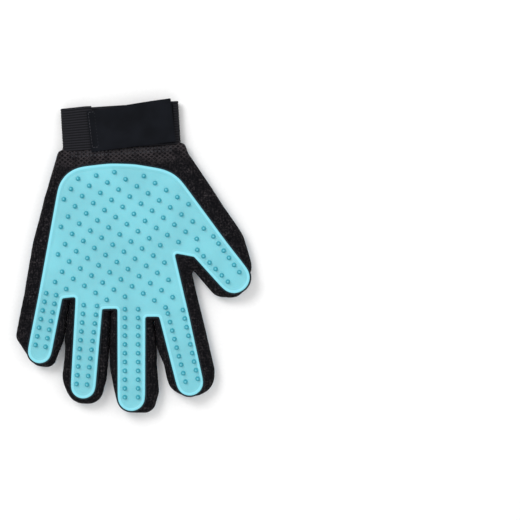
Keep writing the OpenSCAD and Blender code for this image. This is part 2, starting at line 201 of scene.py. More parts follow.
def colours():
    return bpy.context.scene.glove_colours


# ---- flex lines

Flex = namedtuple("Flex", "name finger parent child at along across low high")


def part_name(body):
    """The words for a body in the names of CAD nodes, such as index_tip."""
    return body.replace("_base", "").replace("_end", "") + (
        "_tip" if body.endswith("_end") and body != "thumb_end" else "")


def flex_line(name, finger):
    """Where a finger bends: its place, its directions and how wide the fabric is there."""
    joint = JOINTS[name]
    axis = Vector(joint["axis"])
    at = Vector(joint["pos_m"])
    along = Vector((-axis.y, axis.x, 0))
    across = -axis
    panel = points_of(f"{part_name(joint['child'])}_mesh")
    sides = [(p - at).dot(across) for p in panel if (p - at).dot(along) < MM]
    return Flex(name, finger, joint["parent"], joint["child"], at, along, across,
                min(sides), max(sides))


KNUCKLES = [flex_line(f"{finger}_knuckle", finger) for finger in FINGERS]
MIDDLES = [flex_line(f"{finger}_middle_joint", finger) for finger in FINGERS[:4]]
FLEXES = KNUCKLES + MIDDLES
BODIES = [PALM] + [flex.child for flex in FLEXES]
BEND = 15 * MM          # the length past a flex line that is cut into bands
BEND_STEPS = 7

ARM = Vector(MOUNTS["hand_opening"]["axis"])
ROUND_WRIST = Vector((ARM.y, -ARM.x, 0))
MOUTH = Vector(MOUNTS["hand_opening"]["pos_m"])
CUFF_POINTS = points_of("cuff_elastic")
CUFF_BOTTOM = min(p.z for p in CUFF_POINTS)
CUFF_LENGTH = max((MOUTH - p).dot(ARM) for p in CUFF_POINTS)
WRIST = MOUTH - ARM * CUFF_LENGTH


def up_arm(place):
    """How far up the arm a place is from the seam at the wrist."""
    return (place - WRIST).dot(ARM)


Divider = namedtuple("Divider", "at along across closed")
CLOSED_GAPS = (34 * MM, 44 * MM, 28 * MM, 0)    # how far two neighbouring fingers touch


def divider(left, right, closed):
    """The line between two neighbouring fingers, from the notch where they part."""
    a = left.at + left.across * left.high
    b = right.at + right.across * right.low
    spread = left.along.cross(right.along).z
    reach = (b - a).cross(right.along).z / spread
    along = (left.along + right.along).normalized()
    return Divider(a + left.along * reach, along, Vector((-along.y, along.x, 0)), closed)


DIVIDERS = [divider(a, b, closed) for a, b, closed in zip(KNUCKLES, KNUCKLES[1:], CLOSED_GAPS)]


def close_gaps(bm):
    """Brings the sides of neighbouring fingers together from the notch to where they part."""
    for line in DIVIDERS:
        if not line.closed:
            continue
        for v in bm.verts:
            off, along = beside(v.co, line), past(v.co, line)
            if 3 * MM < along < line.closed + 14 * MM and abs(off) < 7 * MM:
                opening = smooth_step(line.closed - 4 * MM, line.closed + 14 * MM, along)
                wanted = math.copysign(0.2 * MM, off)
                v.co += line.across * (wanted - off) * (1 - opening)


def past(place, line):
    """How far a place is towards the fingertip from a flex or dividing line's point."""
    return (place - line.at).dot(line.along)


def beside(place, line):
    """How far a place is to the side of a flex or dividing line's point."""
    return (place - line.at).dot(line.across)


def smooth_step(low, high, value):
    """0 up to low, 1 from high, and a smooth rise between them."""
    t = min(max((value - low) / (high - low), 0), 1)
    return t * t * (3 - 2 * t)


# ---- mesh helpers


def bevel(bm, geom, offset, segments, affect="EDGES"):
    """Rounds edges or corners."""
    bmesh.ops.bevel(bm, geom=geom, offset=offset, affect=affect, segments=segments,
                    profile=0.5, material=-1)


def face_out(bm):
    """Turns the faces of a closed shape outwards."""
    bmesh.ops.recalc_face_normals(bm, faces=bm.faces)


def as_mesh(bm, name):
    """Turns bm into a mesh and frees it."""
    mesh = bpy.data.meshes.new(name)
    bm.to_mesh(mesh)
    bm.free()
    return mesh


def add_mesh(bm, mesh):
    """Adds a mesh to bm and removes it."""
    bm.from_mesh(mesh)
    bpy.data.meshes.remove(mesh)


def merged_copy(node_name):
    """A copy of a CAD node's mesh, with its loose triangles merged."""
    bm = bmesh.new()
    bm.from_mesh(frame["nodes"][node_name].data)
    bmesh.ops.remove_doubles(bm, verts=bm.verts, dist=MERGE)
    return bm


def flat_face(bm, node_name, top):
    """Adds the flat top or underside of a CAD node to bm, as one face that looks up."""
    part = merged_copy(node_name)
    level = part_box(node_name)[1 if top else 0][2]
    others = [f for f in part.faces if any(abs(v.co.z - level) > 1e-5 for v in f.verts)]
    bmesh.ops.delete(part, geom=others, context="FACES")
    bmesh.ops.dissolve_faces(part, faces=part.faces[:], use_verts=False)
    add_mesh(bm, as_mesh(part, "outline"))


def whole_outline(nodes, top, weld):
    """One face round all the nodes, with the gaps at the flex lines closed."""
    bm = bmesh.new()
    for node_name in nodes:
        flat_face(bm, node_name, top)
    for v in bm.verts:
        for flex in FLEXES:
            away = past(v.co, flex)
            if abs(away) < 0.25 * MM and abs(beside(v.co, flex)) < 30 * MM:
                v.co -= flex.along * away
    bmesh.ops.remove_doubles(bm, verts=bm.verts, dist=weld)
    bmesh.ops.dissolve_faces(bm, faces=bm.faces[:], use_verts=False)
    if len(bm.faces) != 1:
        raise RuntimeError(f"the outline of {nodes[0]} fell into {len(bm.faces)} faces")
    if bm.faces[:][0].normal.z < 0:
        bmesh.ops.reverse_faces(bm, faces=bm.faces)
    return bm


def lay_at(bm, height):
    """Flattens everything to one height."""
    for v in bm.verts:
        v.co.z = height


def split_long_edges(bm, longest):
    """Cuts the edges so that none is longer than longest."""
    wanted = {}
    for edge in bm.edges:
        cuts = int(edge.calc_length() / longest)
        if cuts:
            wanted.setdefault(cuts, []).append(edge)
    for cuts, edges in wanted.items():
        bmesh.ops.bisect_edges(bm, edges=edges, cuts=cuts)


def widen(bm, by):
    """Adds a flat rim of the given width round an outline that looks up."""
    edges = [e for e in bm.edges if e.is_boundary]
    outward = {}
    for edge in edges:
        run = edge.link_loops[0].link_loop_next.vert.co - edge.link_loops[0].vert.co
        for v in edge.verts:
            side = outward.setdefault(v.co.to_tuple(7), Vector())
            side += run.cross(UP).normalized()
    made = bmesh.ops.extrude_edge_only(bm, edges=edges)["geom"]
    for v in made:
        if isinstance(v, bmesh.types.BMVert):
            v.co += outward[v.co.to_tuple(7)].normalized() * by
    face_out(bm)
    if bm.faces[:][0].normal.z < 0:
        bmesh.ops.reverse_faces(bm, faces=bm.faces)


def raise_faces(bm, faces, height, keep=False):
    """Extrudes faces upwards and returns the raised ones. With keep, the old ones stay."""
    raised = bmesh.ops.extrude_face_region(bm, geom=faces)["geom"]
    if not keep:
        bmesh.ops.delete(bm, geom=[f for f in faces if f.is_valid], context="FACES_ONLY")
    tops = [g for g in raised if isinstance(g, bmesh.types.BMFace)]
    for v in {v for f in tops for v in f.verts}:
        v.co.z += height
    bm.normal_update()
    for f in tops:
        if f.normal.z < 0:
            f.normal_flip()
    return tops


def step_in(bm, face, steps):
    """Insets a face again and again. Each step is (inwards, along its normal)."""
    for inward, out in steps:
        bmesh.ops.inset_region(
            bm, faces=[face], thickness=inward, depth=out,
            use_boundary=True, use_even_offset=True,
        )


def rounded_steps(inward, rise, count):
    """Steps along a quarter ellipse that goes in by inward and up by rise."""
    angles = [math.radians(90 * i / count) for i in range(count + 1)]
    places = [(inward * (1 - math.cos(a)), rise * math.sin(a)) for a in angles]
    return [(b[0] - a[0], b[1] - a[1]) for a, b in zip(places, places[1:])]


def cut(bm, faces, at, normal, clear=False):
    """Cuts faces along a plane. With clear, what lies beyond the plane is removed."""
    geometry = list({e for f in faces for e in f.edges} | {v for f in faces for v in f.verts})
    bmesh.ops.bisect_plane(bm, geom=geometry + list(faces), plane_co=at, plane_no=normal,
                           dist=MERGE, clear_outer=clear)


def grid_cuts(bm, faces_of, pitch):
    """Cuts the faces that faces_of(bm) gives into a grid of the given pitch."""
    low, high = (Vector(corner) for corner in cad_box)
    for axis in (0, 1):
        normal = Vector((1, 0, 0) if axis == 0 else (0, 1, 0))
        count = int((high[axis] - low[axis]) / pitch)
        for i in range(1, count + 1):
            cut(bm, faces_of(bm), low + normal * pitch * i, normal)


def body_at(place):
    """Which body a point of the glove's soft shell belongs to."""
    sector = sum(beside(place, line) > 0 for line in DIVIDERS)
    knuckle = KNUCKLES[sector]
    if past(place, knuckle) < 0:
        return PALM
    for middle in MIDDLES:
        if middle.finger == knuckle.finger and past(place, middle) > 0:
            return middle.child
    return knuckle.child


def mark_bodies(bm):
    """Cuts the shell at the flex lines and notes each face's body."""
    for flex in FLEXES:
        near = [f for f in bm.faces if crosses(f, flex)]
        cut(bm, near, flex.at, flex.along)
    layer = bm.faces.layers.int.new("body")
    for f in bm.faces:
        f[layer] = BODIES.index(body_at(f.calc_center_median()))
    for flex in FLEXES:
        child = BODIES.index(flex.child)
        for i in range(1, BEND_STEPS + 1):
            faces = [f for f in bm.faces if f[layer] == child]
            cut(bm, faces, flex.at + flex.along * BEND * i / BEND_STEPS, flex.along)


def crosses(face, flex):
    """Whether a face reaches the stretch of a flex line that lies in its finger."""
    along = [past(v.co, flex) for v in face.verts]
    side = [beside(v.co, flex) for v in face.verts]
    return (min(along) < 0 < max(along) and max(side) > flex.low - 3 * MM
            and min(side) < flex.high + 3 * MM)


def keep_faces(bm, layer_name, value):
    """Removes the faces whose number in a layer isn't value."""
    layer = bm.faces.layers.int[layer_name]
    bmesh.ops.delete(bm, geom=[f for f in bm.faces if f[layer] != value], context="FACES")


def piece_of(bm, body):
    """A copy of the faces that belong to one body."""
    part = bm.copy()
    keep_faces(part, "body", BODIES.index(body))
    return part


def close_ends(bm):
    """Fills the open ends of a cut piece, with sharp edges round them."""
    open_edges = [e for e in bm.edges if e.is_boundary]
    for edge in open_edges:
        edge.smooth = False
    bmesh.ops.holes_fill(bm, edges=open_edges, sides=0)


def finished(name, bm, material, body=None, nodes=()):
    """Makes bm an object with its rest places, has it ride its body or bakes its place, and hides
    what it replaces.
    """
    for f in bm.faces:
        f.smooth = True
    bm.normal_update()
    return placed(name, as_mesh(bm, name), material, body, nodes)


def placed(name, mesh, material, body=None, nodes=()):
    """Makes a mesh an object, as finished does."""
    obj = bpy.data.objects.new(name, mesh)
    bpy.context.scene.collection.objects.link(obj)
    mesh.materials.append(material)
    rest = mesh.attributes.new("rest", "FLOAT_VECTOR", "POINT")
    places = np.empty(len(mesh.vertices) * 3, np.float32)
    mesh.vertices.foreach_get("co", places)
    rest.data.foreach_set("vector", places)
    if body:
        follow(obj, body)
    if nodes:
        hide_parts(*nodes)
    return obj


def follow(obj, body):
    """A finger piece keeps its rest place, with its transform baked in, and any other piece rides
    its body.
    """
    for flex in FLEXES:
        if flex.child == body:
            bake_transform(obj)
            return
    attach(obj, body)


def scattered(template, places):
    """One mesh of many copies of a small template mesh, moved by 4 by 4 matrices."""
    count = len(template.vertices)
    co = np.empty(count * 3)
    template.vertices.foreach_get("co", co)
    co = np.c_[co.reshape(-1, 3), np.ones(count)]
    faces = [np.array(p.vertices) for p in template.polygons]
    every = np.concatenate([co @ np.array(m, float).T for m in places])[:, :3]
    loops = [f + i * count for i in range(len(places)) for f in faces]
    mesh = bpy.data.meshes.new("copies")
    mesh.from_pydata(every.tolist(), [], loops)
    mesh.polygons.foreach_set("use_smooth", [True] * len(mesh.polygons))
    return mesh


# ---- materials

FABRIC_SPECULAR = 0.05          # matt yarn hardly mirrors light
WRIST_TURN = math.atan2(ROUND_WRIST.y, ROUND_WRIST.x)


def node(tree, kind, settings=None, links=None):
    """Adds a node, sets its properties and inputs, and links its inputs from sockets."""
    made = tree.nodes.new(kind)
    for key, value in (settings or {}).items():
        if isinstance(key, str) and hasattr(made, key):
            setattr(made, key, value)
        else:
            made.inputs[key].default_value = value
    for key, socket in (links or {}).items():
        tree.links.new(socket, made.inputs[key])
    return made


def ramp(tree, factor, stops):
    """A colour ramp through (place, linear colour) stops."""
    made = node(tree, "ShaderNodeValToRGB", links={"Fac": factor})
    elements = made.color_ramp.elements
    while len(elements) < len(stops):
        elements.new(0.5)
    for element, (place, shade) in zip(elements, stops):
        element.position = place
        element.color = (*shade, 1)
    return made.outputs["Color"]


def new_material(name):
    """A material with a Principled shader and the piece's rest places as coordinates."""
    material = bpy.data.materials.new(name)
    material.use_nodes = True
    tree = material.node_tree
    shader = tree.nodes["Principled BSDF"]
    rest = node(tree, "ShaderNodeAttribute", {"attribute_name": "rest"})
    return material, tree, shader, rest.outputs["Vector"]


def per_metre(size_mm):
    """Texture scale that makes one cell of a pattern size_mm across."""
    return 1 / (size_mm * MM)


def pattern(tree, kind, size_mm, place, **settings):
    """The outputs of a Noise, Voronoi or Wave texture with cells size_mm across."""
    settings = {key.title(): value for key, value in settings.items()}
    return node(tree, f"ShaderNodeTex{kind}", {"Scale": per_metre(size_mm), **settings},
                {"Vector": place}).outputs


def attribute(tree, name):
    """A number that a piece keeps at each of its points."""
    return node(tree, "ShaderNodeAttribute", {"attribute_name": name}).outputs["Fac"]


def stretched(tree, value, low=0.0, high=1.0, to_low=0.0, to_high=1.0):
    """A value with low to high stretched to to_low to to_high, and no further."""
    return node(tree, "ShaderNodeMapRange",
                {"From Min": low, "From Max": high, "To Min": to_low, "To Max": to_high},
                {"Value": value}).outputs["Result"]


def combined(tree, operation, a, b):
    """Two sockets added, multiplied or compared."""
    return node(tree, "ShaderNodeMath", {"operation": operation}, {0: a, 1: b}).outputs["Value"]


def mixed(tree, factor, a, b):
    """Mixes two colours by a socket. Each is a socket or a linear colour."""
    made = node(tree, "ShaderNodeMix", {"data_type": "RGBA"}, {0: factor})
    for index, value in ((6, a), (7, b)):
        if isinstance(value, bpy.types.NodeSocket):
            tree.links.new(value, made.inputs[index])
        else:
            made.inputs[index].default_value = (*value, 1)
    return made.outputs[2]


def shaded(times, colour_value):
    """A linear colour made darker or lighter."""
    return tuple(times * v for v in colour_value)


def surface(tree, shader, shade, height, strength, depth_mm):
    """Links a colour, and a height that bumps the surface by up to depth_mm."""
    tree.links.new(shade, shader.inputs["Base Color"])
    bump = node(tree, "ShaderNodeBump", {"Strength": strength, "Distance": depth_mm * MM},
                {"Height": height})
    tree.links.new(bump.outputs["Normal"], shader.inputs["Normal"])


def moulded_rubber():
    """Thermoplastic rubber (TPR), injection moulded: satin, with a painted highlight on its rim,
    painted shade on the nub walls and a painted shadow round its edge.
    """
    material, tree, shader, rest = new_material("moulded_aqua_rubber")
    c = colours()
    cloud = pattern(tree, "Noise", 24, rest, detail=3.0)["Fac"]
    grain = pattern(tree, "Noise", 0.5, rest, detail=2.0)["Fac"]
    base = ramp(tree, cloud, [(0.35, shaded(0.9, c.rubber)), (0.65, tuple(c.rubber))])
    # painted light: a highlight on the rim, shade on the nub walls and the shadow round the pad's
    # edge
    for name, painted_light_colour in (("rim", c.rubber_rim), ("nub", c.nub), ("flange", c.bond)):
        base = mixed(tree, attribute(tree, name), base, tuple(painted_light_colour))
    surface(tree, shader, base, grain, 0.12, 0.1)
    tree.links.new(stretched(tree, grain, to_low=0.36, to_high=0.5), shader.inputs["Roughness"])
    shader.inputs["IOR"].default_value = 1.5
    shader.inputs["Subsurface Weight"].default_value = 0.2
    shader.inputs["Subsurface Radius"].default_value = (0.4, 1.0, 1.2)
    shader.inputs["Subsurface Scale"].default_value = 1.2 * MM
    return material


def air_mesh():
    """Warp-knitted polyester air mesh: matt black yarn in open diamonds, with painted highlights
    on the yarn in random patches.
    """
    material, tree, shader, rest = new_material("black_air_mesh")
    c = colours()
    # real holes are about 1 mm apart and are drawn 2 mm apart, so that they show
    cells = pattern(tree, "Voronoi", 2.0, rest, randomness=0.5)["Distance"]
    yarn = pattern(tree, "Noise", 1.1, rest, detail=3.0)["Fac"]
    # random patches where the painted highlight on the yarn is stronger
    highlight_patches = pattern(tree, "Noise", 7, rest, detail=3.0)["Fac"]
    strand = stretched(tree, cells, 0.3, 0.62)
    lit = combined(tree, "MULTIPLY", strand, stretched(tree, yarn, 0.45, 0.62))
    lit = combined(tree, "MULTIPLY", lit, stretched(tree, highlight_patches, 0.38, 0.62, 0.25))
    shade = mixed(tree, lit, tuple(c.mesh), tuple(c.mesh_light))
    shade = mixed(tree, knit_band(tree, rest), shade, tuple(c.band))
    surface(tree, shader, shade, combined(tree, "ADD", strand, yarn), 0.8, 0.4)
    shader.inputs["Roughness"].default_value = 0.8
    shader.inputs["Specular IOR Level"].default_value = FABRIC_SPECULAR
    return material


def knit_band(tree, rest):
    """The open diamonds of the knit where it is stretched towards the cuff, from 0 to 1."""
    place = node(tree, "ShaderNodeVectorMath", {"operation": "SUBTRACT"}, {0: rest})
    place.inputs[1].default_value = WRIST
    waves = []
    for tilt in (-52, 52):
        turned = node(tree, "ShaderNodeMapping",
                      {"Rotation": (0, 0, math.radians(tilt) - WRIST_TURN)},
                      {"Vector": place.outputs["Vector"]})
        # a wave texture repeats 20 times a unit when its scale is pi
        wave = pattern(tree, "Wave", 1.25 * 20 / math.pi, turned.outputs["Vector"],
                       distortion=0.8, detail=1.0)["Fac"]
        waves.append(stretched(tree, wave, 0.62, 0.9))
    lattice = combined(tree, "MAXIMUM", *waves)
    shown = stretched(tree, pattern(tree, "Noise", 9, rest)["Fac"], 0.3, 0.6)
    near = combined(tree, "MULTIPLY", lattice, attribute(tree, "near_cuff"))
    return combined(tree, "MULTIPLY", near, shown)


def brushed_plush():
    """Brushed microfibre pile: saturated at the roots, with painted shade deep in the pile, pale
    at the tips, streaked by the nap.
    """
    material, tree, shader, rest = new_material("blue_brushed_plush")
    c = colours()
    along = node(tree, "ShaderNodeMapping", {"Scale": (1.0, 0.35, 1.0)}, {"Vector": rest})
    along = along.outputs["Vector"]
    streaks = pattern(tree, "Noise", 7, along, detail=4.0, distortion=0.6)["Fac"]
    fibre = pattern(tree, "Noise", 0.5, along, detail=2.0)["Fac"]
    pale = node(tree, "ShaderNodeMath", {"operation": "MULTIPLY_ADD", 1: 0.55},
                {0: stretched(tree, streaks, 0.38, 0.62), 2: attribute(tree, "tip")})
    # the lowest stop is painted shade at the roots, deep in the pile
    shade = ramp(tree, pale.outputs["Value"], [
        (0.0, shaded(0.6, c.plush)), (0.45, tuple(c.plush)), (1.0, tuple(c.plush_tip))])
    surface(tree, shader, shade, fibre, 0.6, 0.4)
    shader.inputs["Roughness"].default_value = 0.9
    shader.inputs["Sheen Weight"].default_value = 0.35
    shader.inputs["Sheen Roughness"].default_value = 0.4
    return material


def ribbed_elastic():
    """Woven elastic webbing: fine cross threads over rubber ribs, matt black, with painted
    highlights on the rib crests and painted shade in the troughs.
    """
    material, tree, shader, rest = new_material("black_ribbed_elastic")
    c = colours()
    turned = node(tree, "ShaderNodeMapping", {"Rotation": (0, 0, -WRIST_TURN)},
                  {"Vector": rest})
    threads = pattern(tree, "Wave", 4.5, turned.outputs["Vector"], distortion=0.5)["Fac"]
    # random patches where the painted light on the ribs is weaker
    rib_light_fade = pattern(tree, "Noise", 3, rest, detail=4.0)["Fac"]
    # painted light: the rib crests are drawn lighter and the troughs darker
    rib_highlight_and_shade = mixed(tree, attribute(tree, "rib"), shaded(0.3, c.elastic), shaded(3.2, c.elastic))
    shade = mixed(tree, stretched(tree, rib_light_fade, to_high=0.5), rib_highlight_and_shade, tuple(c.elastic))
    surface(tree, shader, shade, threads, 0.5, 0.15)
    shader.inputs["Roughness"].default_value = 0.75
    shader.inputs["Specular IOR Level"].default_value = FABRIC_SPECULAR
    return material


def smooth_tape(name, base, weave_mm, depth_mm, roughness):
    """Tightly woven nylon tape: a fine even weave with a faint sheen."""
    material, tree, shader, rest = new_material(name)
    weave = pattern(tree, "Voronoi", weave_mm, rest, randomness=0.4)["Distance"]
    blotch = pattern(tree, "Noise", 14, rest, detail=3.0)["Fac"]
    shade = ramp(tree, blotch, [(0.35, shaded(0.8, base)), (0.65, shaded(1.25, base))])
    surface(tree, shader, shade, weave, 0.5, depth_mm)
    shader.inputs["Roughness"].default_value = roughness
    shader.inputs["Specular IOR Level"].default_value = FABRIC_SPECULAR
    return material


def paper_floor():
    """Matt white backdrop paper."""
    material, tree, shader, rest = new_material("white_backdrop_paper")
    grain = pattern(tree, "Noise", 2, rest, detail=2.0)["Fac"]
    shade = ramp(tree, grain, [(0.0, linear("#F4F4F4")), (1.0, linear("#FBFBFB"))])
    tree.links.new(shade, shader.inputs["Base Color"])
    shader.inputs["Roughness"].default_value = 0.9
    return material


# ---- rubber

SHADOW_FLANGE_HEIGHT = 0.45 * MM       # thickness of the dark sheet round the pad that paints its edge shadow
SHADOW_FLANGE_SUNK = 0.12 * MM         # how far it presses into the mesh
EDGE_RADIUS = 0.7 * MM          # radius of the pad's rounded top edge


def nub_template():
    """A nub: a flared foot, a steep wall and a rounded tip, on a base at height 0."""
    s = sizes()
    height = NUB_TOP - field_level()
    foot, tip = s.nub_foot / 2, s.nub_tip / 2
    bm = bmesh.new()
    profile = [(foot, -0.3 * MM), (foot, 0.05 * MM), (foot - 0.35 * MM, 0.45 * MM)]
    crown = tip * 0.7
    for angle in (0, 25, 50, 72):
        a = math.radians(angle)
        out = tip - crown + crown * math.cos(a)
        profile.append((out, height - 0.8 * crown * (1 - math.sin(a))))
    profile.append((0, height))
    verts = [bm.verts.new((r, 0, z)) for r, z in profile]
    edges = [bm.edges.new(pair) for pair in zip(verts, verts[1:])]
    bmesh.ops.spin(bm, geom=verts + edges, cent=(0, 0, 0), axis=(0, 0, 1),
                   angle=math.tau, steps=14, use_merge=True)
    bmesh.ops.remove_doubles(bm, verts=bm.verts, dist=MERGE)
    bmesh.ops.holes_fill(bm, edges=[e for e in bm.edges if e.is_boundary], sides=0)
    face_out(bm)
    return as_mesh(bm, "nub")


def field_level():
    """Height of the sheet between the nubs."""
    return PAD_TOP - sizes().rim_rise


def nub_places(node_name):
    """Where the nubs of a CAD node stand."""
    tips = []
    for p in points_of(node_name):
        if p.z > NUB_TOP - 0.01 * MM and all((p - tip).length > MM for tip in tips):
            tips.append(p.copy())
    return tips


def add_nubs(bm, node_name, template):
    """Stands the nubs on the sheet, as closed forms that sink into it."""
    level = field_level()
    places = [Matrix.Translation((p.x, p.y, level)) for p in nub_places(node_name)]
    bm.verts.layers.float.new("nub")
    if places:
        mesh = scattered(template, places)
        nub_shade_layer = mesh.attributes.new("nub", "FLOAT", "POINT")
        # how much painted shade each point of a nub gets
        nub_shade_amounts = [nub_wall_shade(v.co) for v in template.vertices]
        nub_shade_layer.data.foreach_set("value", np.tile(nub_shade_amounts, len(places)))
        add_mesh(bm, mesh)


def nub_wall_shade(place):
    """Painted shade on a nub: most on its steep wall, least at the centre of its tip, and less
    near its foot.
    """
    radius = math.hypot(place.x, place.y)
    return smooth_step(0.15, 0.8, radius / (sizes().nub_tip / 2)) * (
        1 - 0.7 * smooth_step(0.85, 1.0, radius / (sizes().nub_foot / 2)))


class GLOVE_OT_rubber(bpy.types.Operator):
    """Moulds the rubber curry pad, with its rim and nubs, and cuts it at the flex lines"""

    bl_idname = "glove.rubber"
    bl_label = "Rubber pad"

    def execute(self, context):
        s = sizes()
        material = moulded_rubber()
        nodes = [f"{part_name(body)}_pad" for body in BODIES]
        bm = whole_outline(nodes, top=False, weld=0.06 * MM)
        lay_at(bm, MESH_TOP)
        split_long_edges(bm, FACET)
        for _ in range(5):
            bmesh.ops.smooth_vert(bm, verts=bm.verts, factor=0.5, use_axis_x=True,
                                  use_axis_y=True)
        widen(bm, s.flange)
        shadow_flange_top = raise_faces(bm, bm.faces[:], SHADOW_FLANGE_HEIGHT, keep=True)
        # the lower layer is a dark sheet that paints the pad's edge shadow
        lay = bm.verts.layers.float.new("flange")
        for v in bm.verts:
            v.co.z -= SHADOW_FLANGE_SUNK
            v[lay] = 1
        top = max(shadow_flange_top, key=lambda f: f.calc_area())
        rise = field_level() + s.rim_rise - top.verts[0].co.z
        top = raise_faces(bm, [top], 0.02 * MM)[0]
        top = raise_faces(bm, [top], rise - EDGE_RADIUS)[0]
        for v in top.verts:
            v[lay] = 0
        step_in(bm, top, rounded_steps(EDGE_RADIUS, EDGE_RADIUS, 4))
        step_in(bm, top, [(s.rim_width - EDGE_RADIUS, 0), (0.25 * MM, -0.3 * s.rim_rise),
                          (0.3 * MM, -0.6 * s.rim_rise), (0.3 * MM, -0.1 * s.rim_rise),
                          (1.2 * MM, 0), (0.2 * MM, -0.12 * MM), (0.25 * MM, 0.12 * MM),
                          (0.3 * MM, 0)])
        for v in top.verts:
            v[lay] = 0
        face_out(bm)
        mark_bodies(bm)
        template = nub_template()
        for body, node_name in zip(BODIES, nodes):
            part = piece_of(bm, body)
            close_ends(part)
            face_out(part)
            # the higher a point stands on the rim, the more painted highlight it gets
            rim = part.verts.layers.float.new("rim")
            for v in part.verts:
                v[rim] = smooth_step(field_level(), field_level() + s.rim_rise, v.co.z)
            add_nubs(part, node_name, template)
            finished(f"rubber_{part_name(body)}", part, material, body, [node_name])
        bm.free()
        return {"FINISHED"}


# ---- air mesh

WIDEST = 0.42           # where the sides bulge most, as a share of their height
UNDER_EDGE = 1.6 * MM   # how far the shell curves in underneath


def blunt_notches(bm):
    """Gives each sharp notch between two fingers a short flat end, so that insets stay even."""
    face = bm.faces[:][0]
    sharp = []
    for loop in face.loops:
        before = (loop.vert.co - loop.link_loop_prev.vert.co).normalized()
        after = (loop.link_loop_next.vert.co - loop.vert.co).normalized()
        if before.dot(after) < -0.5 and before.cross(after).z < 0:
            sharp.append(loop.vert)
    bevel(bm, sharp, 5 * MM, 1, "VERTICES")


def fabric_outline():
    """The outline of the fabric, run on a little into the cuff."""
    bm = whole_outline([f"{part_name(body)}_mesh" for body in BODIES], top=True, weld=0.3 * MM)
    for v in bm.verts:
        if up_arm(v.co) > -0.5 * MM and abs(v.co.z - MESH_TOP) < MM:
            v.co += ARM * 12 * MM
    ends = [v for v in bm.verts if up_arm(v.co) > 8 * MM]
    bevel(bm, ends, 8 * MM, 7, "VERTICES")
    blunt_notches(bm)
    return bm


def crease_at(place):
    """How far a crease moves the air mesh out at a place: long soft folds and small puckers."""
    nearest = min(KNUCKLES, key=lambda knuckle: abs(beside(place, knuckle)))
    u, v = past(place, nearest), beside(place, nearest)
    folds = noise.noise(Vector((v / (5 * MM), u / (22 * MM), place.z / (6 * MM))))
    puckers = noise.noise(place / (4 * MM) + Vector((7, 3, 1)))
    return 0.8 * folds + 0.35 * puckers


def soften(bm, amount):
    """Moves each vertex along its normal by the creases, and sinks the fabric to the cuff."""
    bm.normal_update()
    flat = {v for f in bm.faces for v in f.verts if f.normal.z > 0.99}
    moves = {v: v.normal * crease_at(v.co) * amount * (0.3 if v in flat else 1)
             for v in bm.verts}
    for v, move in moves.items():
        v.co += move
        if v.co.z > HAND_TOP:
            v.co.z = sunk_to_cuff(v.co.z, up_arm(v.co))
        v.co = tucked(v.co)


def cut_at_wrist(bm):
    """Cuts the fabric off inside the cuff, with rows of points where it is tucked in."""
    for row in (0.3, 1.6, 3):
        cut(bm, bm.faces[:], WRIST + ARM * row * MM, ARM)
    cut(bm, bm.faces[:], WRIST + ARM * 5 * MM, ARM, clear=True)


def tucked(place):
    """A point past the wrist, brought inside the elastic."""
    inward = up_arm(place)
    middle = WRIST + ARM * inward
    middle.z = (CUFF_BOTTOM + HAND_TOP) / 2
    off = place - middle
    inside = Vector((off.x * 0.94, off.y * 0.94, max(-2.6 * MM, min(2.6 * MM, off.z))))
    return place.lerp(middle + inside, smooth_step(-0.2 * MM, 1.5 * MM, inward))


class GLOVE_OT_air_mesh(bpy.types.Operator):
    """Sews the black air mesh: a panel on the palm side and gussets round the hand"""

    bl_idname = "glove.air_mesh"
    bl_label = "Air mesh"

    def execute(self, context):
        s = sizes()
        material = air_mesh()
        widest = PLUSH_TOP + WIDEST * (MESH_TOP - PLUSH_TOP)
        upper = fabric_outline()
        lay_at(upper, widest)
        split_long_edges(upper, 2.2 * MM)
        close_gaps(upper)
        lower = upper.copy()
        panel = upper.faces.layers.int.new("panel")
        face = upper.faces[:][0]
        step_in(upper, face, rounded_steps(s.shoulder, MESH_TOP - widest, 7))
        face[panel] = 1
        step_in(upper, face, [(0.35 * MM, -0.45 * MM), (0.35 * MM, 0.35 * MM),
                              (0.8 * MM, 0.1 * MM)])
        grid_cuts(upper, lambda m: [f for f in m.faces if len(f.verts) > 4], 4 * MM)
        lower.faces.layers.int.new("panel")
        bottom = lower.faces[:][0]
        bmesh.ops.reverse_faces(lower, faces=[bottom])
        step_in(lower, bottom, rounded_steps(UNDER_EDGE, widest - PLUSH_TOP + 0.8 * MM, 4))
        bmesh.ops.delete(lower, geom=[bottom], context="FACES")
        add_mesh(upper, as_mesh(lower, "lower"))
        bmesh.ops.remove_doubles(upper, verts=upper.verts, dist=1e-5)
        cut_at_wrist(upper)
        mark_bodies(upper)
        soften(upper, s.crease)
        for body in BODIES:
            self.sew(upper, body, material, s.wall)
        upper.free()
        return {"FINISHED"}

    def sew(self, shell, body, material, wall):
        """Makes a body's panel and its gusset from the faces of the shell."""
        word = part_name(body)
        for kind, is_panel in (("panel", 1), ("side_mesh", 0)):
            part = piece_of(shell, body)
            near_cuff = part.verts.layers.float.new("near_cuff")
            for v in part.verts:
                v[near_cuff] = smooth_step(-16 * MM, -6 * MM, up_arm(v.co))
            keep_faces(part, "panel", is_panel)
            cut_to = cut_size(part.faces[:])
            bmesh.ops.solidify(part, geom=part.faces[:], thickness=wall)
            face_out(part)
            if is_panel:
                replaced = [f"{word}_mesh"]
            elif body == PALM:
                replaced = ["little_side_wall", "thumb_side_wall", "index_side_wall",
                            "little_ring_web", "ring_middle_web", "middle_index_web"]
            else:
                replaced = [f"{word}_gusset"]
            obj = finished(f"{word}_{kind}", part, material, body, replaced)


